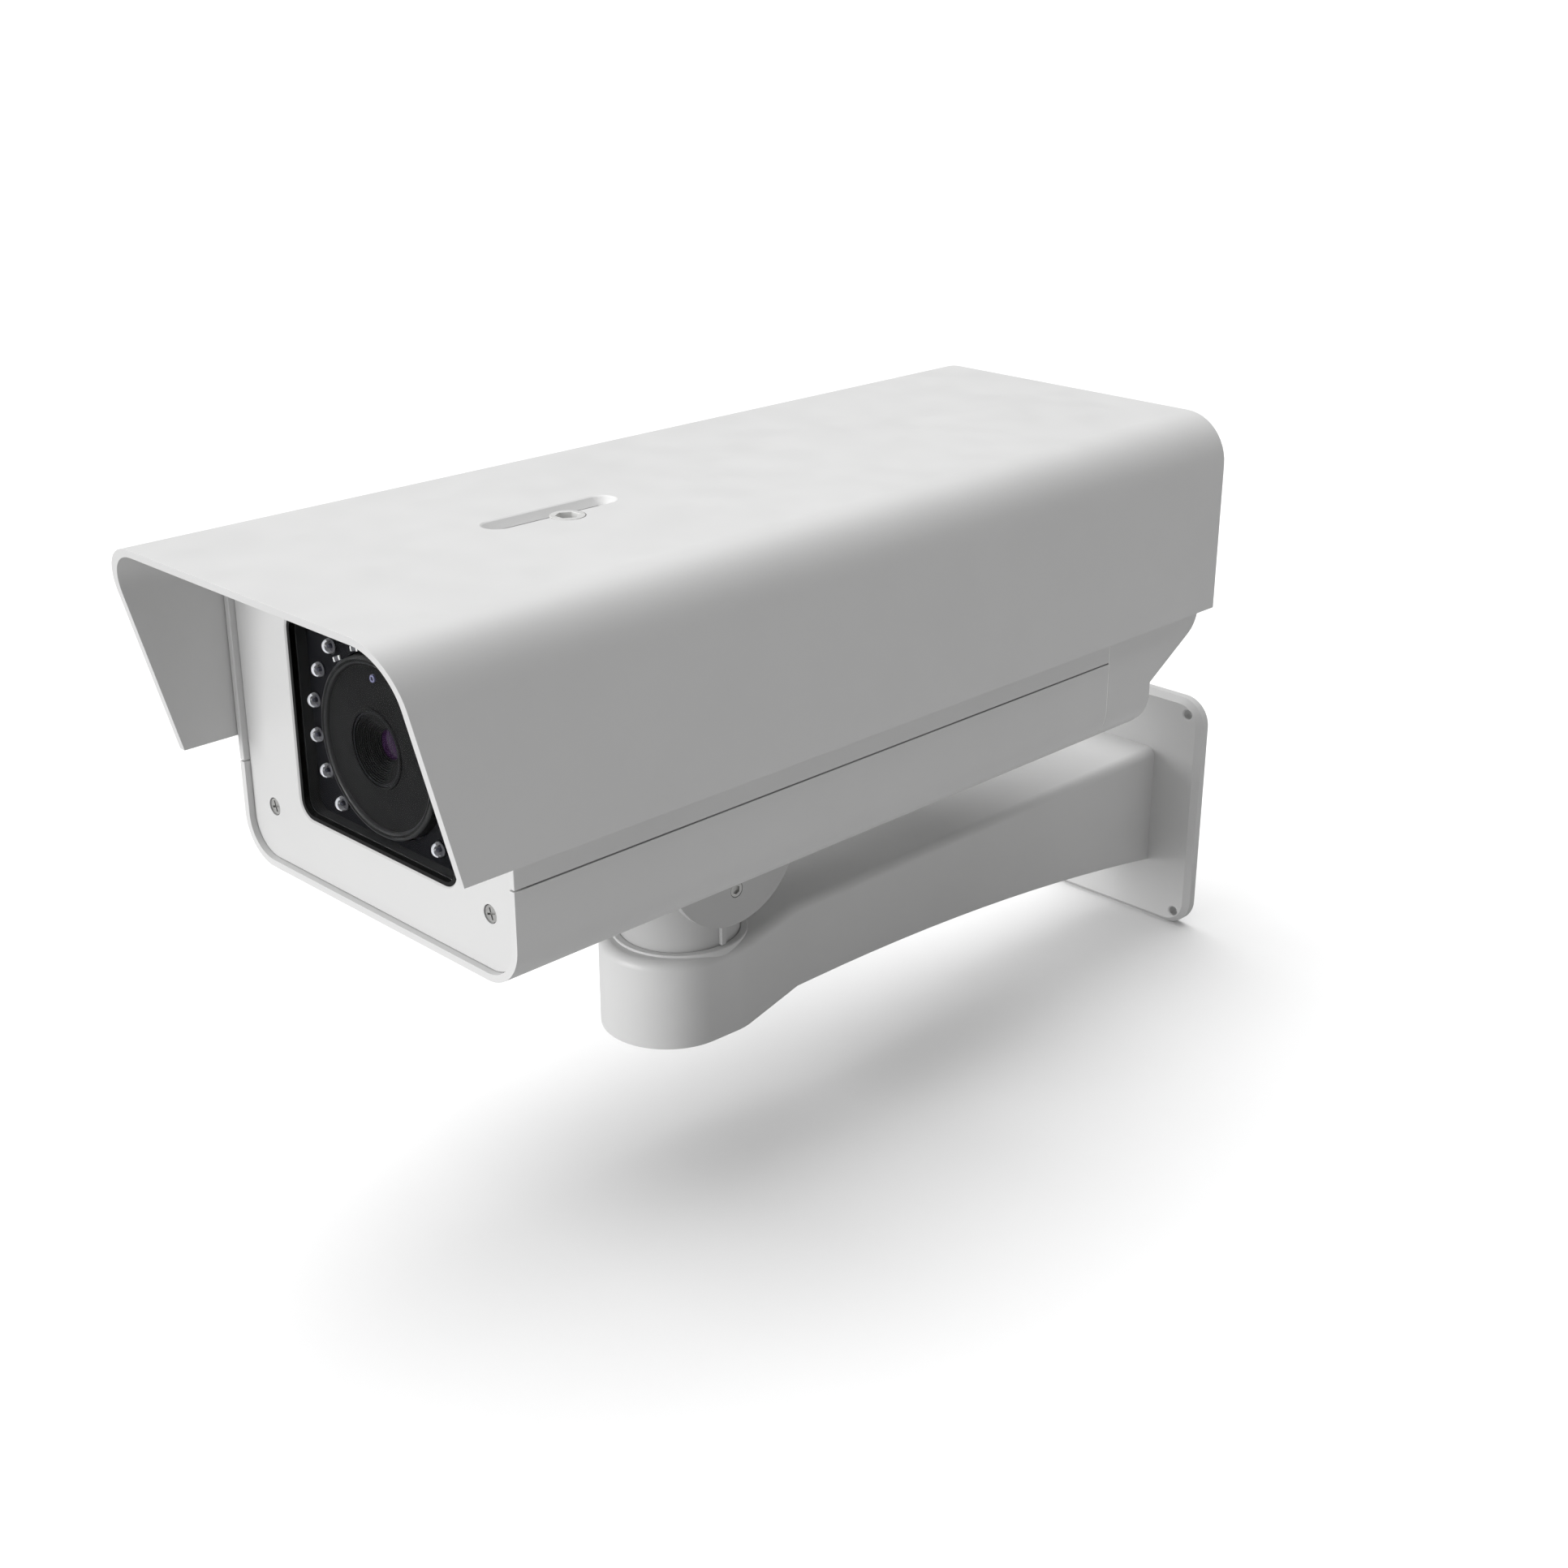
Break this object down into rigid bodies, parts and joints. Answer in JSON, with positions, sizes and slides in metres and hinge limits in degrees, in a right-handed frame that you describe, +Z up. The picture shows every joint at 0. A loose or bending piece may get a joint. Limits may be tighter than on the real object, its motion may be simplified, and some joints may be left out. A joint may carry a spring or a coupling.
{
  "type": "security camera",
  "caption": "Box security camera with infrared lamps and a sliding sunshield, on a wall arm with a pan and tilt head.",
  "frame": {"origin": "centre of the wall plate's back face, where it rests on the wall", "axes": "+Z up, +Y into the wall, the lens looks along -Y, +X is the camera's left side as seen from the wall side facing out"},
  "size_m": [0.154, 0.4488, 0.2499],
  "materials": {
    "plate_paint": "satin powder coat",
    "arm_paint": "satin powder coat",
    "head_paint": "satin powder coat",
    "shell_paint": "satin powder coat",
    "shield_paint": "satin powder coat",
    "front_paint": "satin powder coat",
    "zinc_screws": "zinc plated",
    "satin_steel": "satin nickel plated",
    "stainless": "polished stainless",
    "black_screw": "black oxide",
    "black_rubber": "matt",
    "grey_rubber": "matt",
    "pale_rubber": "pale silicone",
    "nylon": "natural nylon",
    "window": "coated flat glass",
    "lens_coated": "violet coated optical glass",
    "black_frame": "matt black",
    "led_mask": "matt black solder mask",
    "led_epoxy": "clear epoxy over a bright reflector",
    "baffle": "satin black moulding",
    "sensor_lens": "clear moulding",
    "lens_metal": "black anodised",
    "bare_aluminium": "brushed",
    "circuit_board": "green solder mask",
    "chip": "black package under cover glass",
    "brass": "turned",
    "coil_tape": "yellow tape",
    "sleeve": "shrink sleeve",
    "terminal_green": "moulded",
    "gland_nylon": "moulded nylon"
  },
  "bodies": {
    "wall_bracket": {"wall_plate": "plate_paint", "arm_screws": "zinc_screws", "arm": "arm_paint", "cable_grommet": "black_rubber", "pan_bush": "arm_paint", "pan_thrust_washer": "nylon", "pan_lock_screw": "black_screw", "pan_washer": "zinc_screws"},
    "pan_head": {"swivel_column": "head_paint", "pan_bolt": "zinc_screws"},
    "camera_body": {"mounting_foot": "head_paint", "foot_screws": "zinc_screws", "tilt_axle": "zinc_screws", "tilt_screws": "stainless", "tilt_washers": "nylon", "housing_base": "shell_paint", "housing_cover": "shell_paint", "lid_seal": "grey_rubber", "lid_screws": "zinc_screws", "front_plate": "front_paint", "front_screws": "stainless", "window_gasket": "black_rubber", "window_glass": "window", "window_retainer": "black_frame", "led_panel": "led_mask", "ir_leds": "led_epoxy", "lens_hood": "baffle", "light_sensor": "sensor_lens", "lens_barrel": "lens_metal", "lens_front_glass": "lens_coated", "lens_rear_glass": "lens_coated", "lens_mount_ring": "bare_aluminium", "camera_module": "bare_aluminium", "module_stand": "bare_aluminium", "image_sensor_board": "circuit_board", "image_sensor": "chip", "processor_board": "circuit_board", "heat_sink": "bare_aluminium", "camera_tray": "bare_aluminium", "tray_screws": "zinc_screws", "power_board": "circuit_board", "board_standoffs": "brass", "transformer": "coil_tape", "capacitors": "sleeve", "terminal_block": "terminal_green", "window_heater": "bare_aluminium", "rear_cap": "shell_paint", "rear_seal": "pale_rubber", "rear_screws": "zinc_screws", "cable_glands": "gland_nylon", "gland_nuts": "gland_nylon", "gland_plug": "gland_nylon"},
    "shield_body": {"sunshield": "shield_paint", "shield_screw": "satin_steel", "shield_nut": "satin_steel"},
    "focus_body": {"focus_ring": "lens_metal"},
    "zoom_body": {"zoom_ring": "lens_metal"},
    "ir_filter_body": {"ir_filter_frame": "black_frame", "ir_filter_glass": "lens_coated"}
  },
  "joints": [
    {"name": "pan", "type": "hinge", "parent": "wall_bracket", "child": "pan_head", "pos_m": [0, -0.2775, 0.02], "axis": [0, 0, 1], "range_deg": [-90, 90]},
    {"name": "tilt", "type": "hinge", "parent": "pan_head", "child": "camera_body", "pos_m": [0, -0.2775, 0.0532], "axis": [1, 0, 0], "range_deg": [-14, 60]},
    {"name": "shield_slide", "type": "slide", "parent": "camera_body", "child": "shield_body", "axis": [0, 1, 0], "range_m": [-0.015, 0.029]},
    {"name": "focus", "type": "hinge", "parent": "camera_body", "child": "focus_body", "pos_m": [0, -0.387, 0.1336], "axis": [0, 1, 0], "range_deg": [-60, 60]},
    {"name": "zoom", "type": "hinge", "parent": "camera_body", "child": "zoom_body", "pos_m": [0, -0.371, 0.1336], "axis": [0, 1, 0], "range_deg": [-45, 45]},
    {"name": "ir_filter_shift", "type": "slide", "parent": "camera_body", "child": "ir_filter_body", "axis": [1, 0, 0], "range_m": [0, 0.012]}
  ]
}
